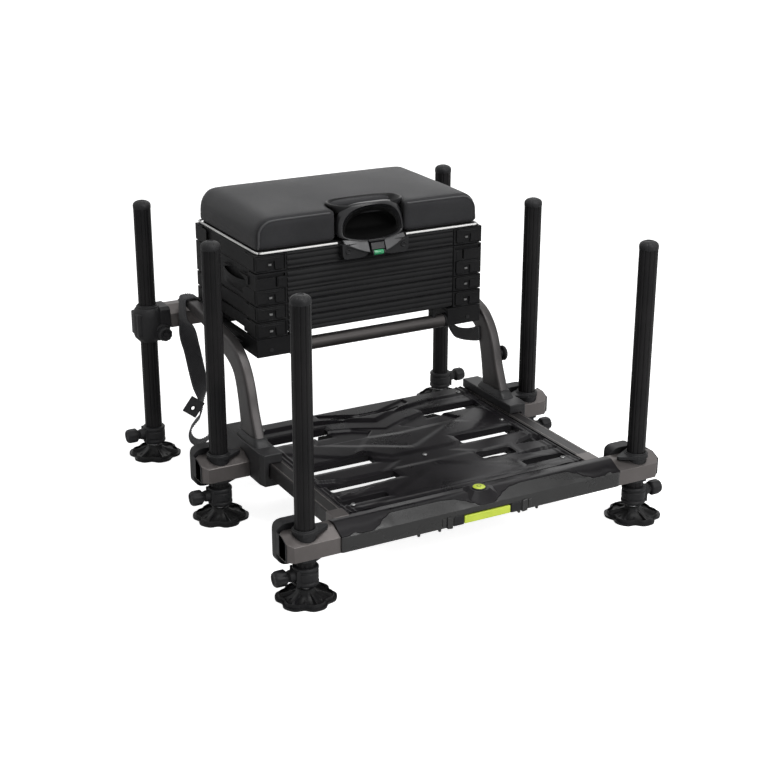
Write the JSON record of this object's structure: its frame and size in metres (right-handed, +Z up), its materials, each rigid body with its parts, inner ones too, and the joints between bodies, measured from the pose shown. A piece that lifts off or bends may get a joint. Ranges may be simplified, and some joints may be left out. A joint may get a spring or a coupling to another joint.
{
  "type": "fishing seat box",
  "caption": "Fishing seat box with a cushioned lid, stacked lift-off trays, curved side arms, a sliding slotted footplate and telescopic legs with mud feet",
  "frame": {"origin": "on the ground, midway between the outermost feet in X and Y", "axes": "+X to the sitter's left as seen from the front, which is the right of the picture; +Y to the rear; +Z up"},
  "size_m": [0.8446, 0.8494, 0.59],
  "materials": {
    "anodised": "black anodised, satin",
    "gunmetal": "gunmetal anodised, satin",
    "arm_metal": "gunmetal powder coat",
    "casting": "black moulded, fine grain",
    "foot_plastic": "black moulded, glossy ribs",
    "tray_plastic": "black moulded, satin",
    "deck_plastic": "black moulded, half gloss",
    "vinyl": "black grained vinyl with white piping",
    "lime": "lime green",
    "webbing": "woven black webbing"
  },
  "bodies": {
    "frame": {"runner_left": "casting", "runner_right": "casting", "mid_rail_left": "gunmetal", "mid_rail_right": "gunmetal", "side_arm_left": "arm_metal", "side_arm_right": "arm_metal", "rear_beam": "gunmetal", "rear_casting_left": "casting", "rear_casting_right": "casting", "base_frame": "tray_plastic", "leg_bush_mid_left": "casting", "leg_bush_mid_right": "casting", "strap_left": "webbing", "strap_right": "webbing"},
    "footplate": {"front_rail": "gunmetal", "side_rail_left": "gunmetal", "side_rail_right": "gunmetal", "footplate_deck": "deck_plastic", "front_moulding": "deck_plastic", "level_bubble": "lime", "leg_bush_front_left": "casting", "leg_bush_front_right": "casting"},
    "bottom_tray": {"bottom_tray": "tray_plastic"},
    "third_tray": {"third_tray": "tray_plastic"},
    "deep_tray": {"deep_tray": "tray_plastic"},
    "top_tray": {"top_tray": "tray_plastic"},
    "lid": {"lid": "tray_plastic", "seat_cushion": "vinyl"},
    "release_button": {"release_button": "casting"},
    "release_handle": {"release_handle": "lime"},
    "leg_front_left": {"leg_front_left": "anodised"},
    "ram_front_left": {"ram_front_left": "anodised"},
    "foot_front_left": {"mud_foot_front_left": "foot_plastic"},
    "collar_knob_front_left": {"collar_knob_front_left": "casting"},
    "lever_front_left": {"clamp_lever_front_left": "casting"},
    "leg_front_right": {"leg_front_right": "anodised"},
    "ram_front_right": {"ram_front_right": "anodised"},
    "foot_front_right": {"mud_foot_front_right": "foot_plastic"},
    "collar_knob_front_right": {"collar_knob_front_right": "casting"},
    "lever_front_right": {"clamp_lever_front_right": "casting"},
    "leg_mid_left": {"leg_mid_left": "anodised"},
    "ram_mid_left": {"ram_mid_left": "anodised"},
    "foot_mid_left": {"mud_foot_mid_left": "foot_plastic"},
    "collar_knob_mid_left": {"collar_knob_mid_left": "casting"},
    "lever_mid_left": {"clamp_lever_mid_left": "casting"},
    "leg_mid_right": {"leg_mid_right": "anodised"},
    "ram_mid_right": {"ram_mid_right": "anodised"},
    "foot_mid_right": {"mud_foot_mid_right": "foot_plastic"},
    "collar_knob_mid_right": {"collar_knob_mid_right": "casting"},
    "lever_mid_right": {"clamp_lever_mid_right": "casting"},
    "leg_rear_left": {"leg_rear_left": "anodised"},
    "ram_rear_left": {"ram_rear_left": "anodised"},
    "foot_rear_left": {"mud_foot_rear_left": "foot_plastic"},
    "collar_knob_rear_left": {"collar_knob_rear_left": "casting"},
    "leg_rear_right": {"leg_rear_right": "anodised"},
    "ram_rear_right": {"ram_rear_right": "anodised"},
    "foot_rear_right": {"mud_foot_rear_right": "foot_plastic"},
    "collar_knob_rear_right": {"collar_knob_rear_right": "casting"},
    "rear_knob_left": {"rear_knob_left": "casting"},
    "rear_knob_right": {"rear_knob_right": "casting"}
  },
  "joints": [
    {"name": "footplate_slide", "type": "slide", "parent": "frame", "child": "footplate", "axis": [0, 1, 0], "range_m": [0, 0.225]},
    {"name": "leg_slide_front_left", "type": "slide", "parent": "footplate", "child": "leg_front_left", "axis": [0, 0, 1], "range_m": [-0.4, 0.01]},
    {"name": "collar_knob_turn_front_left", "type": "hinge", "parent": "leg_front_left", "child": "collar_knob_front_left", "pos_m": [-0.36, -0.375, 0.052], "axis": [-1, 0, 0], "range_deg": [0, 360]},
    {"name": "ram_slide_front_left", "type": "slide", "parent": "leg_front_left", "child": "ram_front_left", "axis": [0, 0, -1], "range_m": [0, 0.1]},
    {"name": "foot_tilt_front_left", "type": "hinge", "parent": "ram_front_left", "child": "foot_front_left", "pos_m": [-0.36, -0.375, 0.019], "axis": [1, 0, 0], "range_deg": [-12, 12]},
    {"name": "lever_swing_front_left", "type": "hinge", "parent": "footplate", "child": "lever_front_left", "pos_m": [-0.35, -0.336, 0.102], "axis": [0, 0, -1], "range_deg": [0, 100]},
    {"name": "leg_slide_front_right", "type": "slide", "parent": "footplate", "child": "leg_front_right", "axis": [0, 0, 1], "range_m": [-0.4, 0.01]},
    {"name": "collar_knob_turn_front_right", "type": "hinge", "parent": "leg_front_right", "child": "collar_knob_front_right", "pos_m": [0.36, -0.375, 0.052], "axis": [1, 0, 0], "range_deg": [0, 360]},
    {"name": "ram_slide_front_right", "type": "slide", "parent": "leg_front_right", "child": "ram_front_right", "axis": [0, 0, -1], "range_m": [0, 0.1]},
    {"name": "foot_tilt_front_right", "type": "hinge", "parent": "ram_front_right", "child": "foot_front_right", "pos_m": [0.36, -0.375, 0.019], "axis": [1, 0, 0], "range_deg": [-12, 12]},
    {"name": "lever_swing_front_right", "type": "hinge", "parent": "footplate", "child": "lever_front_right", "pos_m": [0.37, -0.336, 0.102], "axis": [0, 0, -1], "range_deg": [0, 100]},
    {"name": "leg_slide_mid_left", "type": "slide", "parent": "frame", "child": "leg_mid_left", "axis": [0, 0, 1], "range_m": [-0.4, 0.01]},
    {"name": "collar_knob_turn_mid_left", "type": "hinge", "parent": "leg_mid_left", "child": "collar_knob_mid_left", "pos_m": [-0.36, 0.01, 0.052], "axis": [-1, 0, 0], "range_deg": [0, 360]},
    {"name": "ram_slide_mid_left", "type": "slide", "parent": "leg_mid_left", "child": "ram_mid_left", "axis": [0, 0, -1], "range_m": [0, 0.1]},
    {"name": "foot_tilt_mid_left", "type": "hinge", "parent": "ram_mid_left", "child": "foot_mid_left", "pos_m": [-0.36, 0.01, 0.019], "axis": [1, 0, 0], "range_deg": [-12, 12]},
    {"name": "lever_swing_mid_left", "type": "hinge", "parent": "frame", "child": "lever_mid_left", "pos_m": [-0.35, 0.049, 0.102], "axis": [0, 0, -1], "range_deg": [0, 100]},
    {"name": "leg_slide_mid_right", "type": "slide", "parent": "frame", "child": "leg_mid_right", "axis": [0, 0, 1], "range_m": [-0.4, 0.01]},
    {"name": "collar_knob_turn_mid_right", "type": "hinge", "parent": "leg_mid_right", "child": "collar_knob_mid_right", "pos_m": [0.36, 0.01, 0.052], "axis": [1, 0, 0], "range_deg": [0, 360]},
    {"name": "ram_slide_mid_right", "type": "slide", "parent": "leg_mid_right", "child": "ram_mid_right", "axis": [0, 0, -1], "range_m": [0, 0.1]},
    {"name": "foot_tilt_mid_right", "type": "hinge", "parent": "ram_mid_right", "child": "foot_mid_right", "pos_m": [0.36, 0.01, 0.019], "axis": [1, 0, 0], "range_deg": [-12, 12]},
    {"name": "lever_swing_mid_right", "type": "hinge", "parent": "frame", "child": "lever_mid_right", "pos_m": [0.37, 0.049, 0.102], "axis": [0, 0, -1], "range_deg": [0, 100]},
    {"name": "leg_slide_rear_left", "type": "slide", "parent": "frame", "child": "leg_rear_left", "axis": [0, 0, 1], "range_m": [-0.2, 0.18]},
    {"name": "collar_knob_turn_rear_left", "type": "hinge", "parent": "leg_rear_left", "child": "collar_knob_rear_left", "pos_m": [-0.36, 0.375, 0.052], "axis": [-1, 0, 0], "range_deg": [0, 360]},
    {"name": "ram_slide_rear_left", "type": "slide", "parent": "leg_rear_left", "child": "ram_rear_left", "axis": [0, 0, -1], "range_m": [0, 0.1]},
    {"name": "foot_tilt_rear_left", "type": "hinge", "parent": "ram_rear_left", "child": "foot_rear_left", "pos_m": [-0.36, 0.375, 0.019], "axis": [1, 0, 0], "range_deg": [-12, 12]},
    {"name": "leg_slide_rear_right", "type": "slide", "parent": "frame", "child": "leg_rear_right", "axis": [0, 0, 1], "range_m": [-0.2, 0.18]},
    {"name": "collar_knob_turn_rear_right", "type": "hinge", "parent": "leg_rear_right", "child": "collar_knob_rear_right", "pos_m": [0.36, 0.375, 0.052], "axis": [1, 0, 0], "range_deg": [0, 360]},
    {"name": "ram_slide_rear_right", "type": "slide", "parent": "leg_rear_right", "child": "ram_rear_right", "axis": [0, 0, -1], "range_m": [0, 0.1]},
    {"name": "foot_tilt_rear_right", "type": "hinge", "parent": "ram_rear_right", "child": "foot_rear_right", "pos_m": [0.36, 0.375, 0.019], "axis": [1, 0, 0], "range_deg": [-12, 12]},
    {"name": "rear_knob_turn_left", "type": "hinge", "parent": "frame", "child": "rear_knob_left", "pos_m": [-0.339, 0.335, 0.284], "axis": [0, -1, 0], "range_deg": [0, 360]},
    {"name": "rear_knob_turn_right", "type": "hinge", "parent": "frame", "child": "rear_knob_right", "pos_m": [0.339, 0.335, 0.284], "axis": [0, -1, 0], "range_deg": [0, 360]},
    {"name": "bottom_tray_lift", "type": "slide", "parent": "frame", "child": "bottom_tray", "axis": [0, 0, 1], "range_m": [0, 0.12]},
    {"name": "third_tray_lift", "type": "slide", "parent": "bottom_tray", "child": "third_tray", "axis": [0, 0, 1], "range_m": [0, 0.12]},
    {"name": "deep_tray_lift", "type": "slide", "parent": "third_tray", "child": "deep_tray", "axis": [0, 0, 1], "range_m": [0, 0.12]},
    {"name": "top_tray_lift", "type": "slide", "parent": "deep_tray", "child": "top_tray", "axis": [0, 0, 1], "range_m": [0, 0.12]},
    {"name": "lid_hinge", "type": "hinge", "parent": "top_tray", "child": "lid", "pos_m": [0, 0.355, 0.5101], "axis": [-1, 0, 0], "range_deg": [0, 95]},
    {"name": "button_press", "type": "slide", "parent": "lid", "child": "release_button", "axis": [0, 1, 0], "range_m": [0, 0.004], "stiffness_N_per_m": 600, "springref_m": -0.001},
    {"name": "release_pull", "type": "slide", "parent": "footplate", "child": "release_handle", "axis": [0, -1, 0], "range_m": [0, 0.008], "stiffness_N_per_m": 500, "springref_m": -0.002}
  ]
}
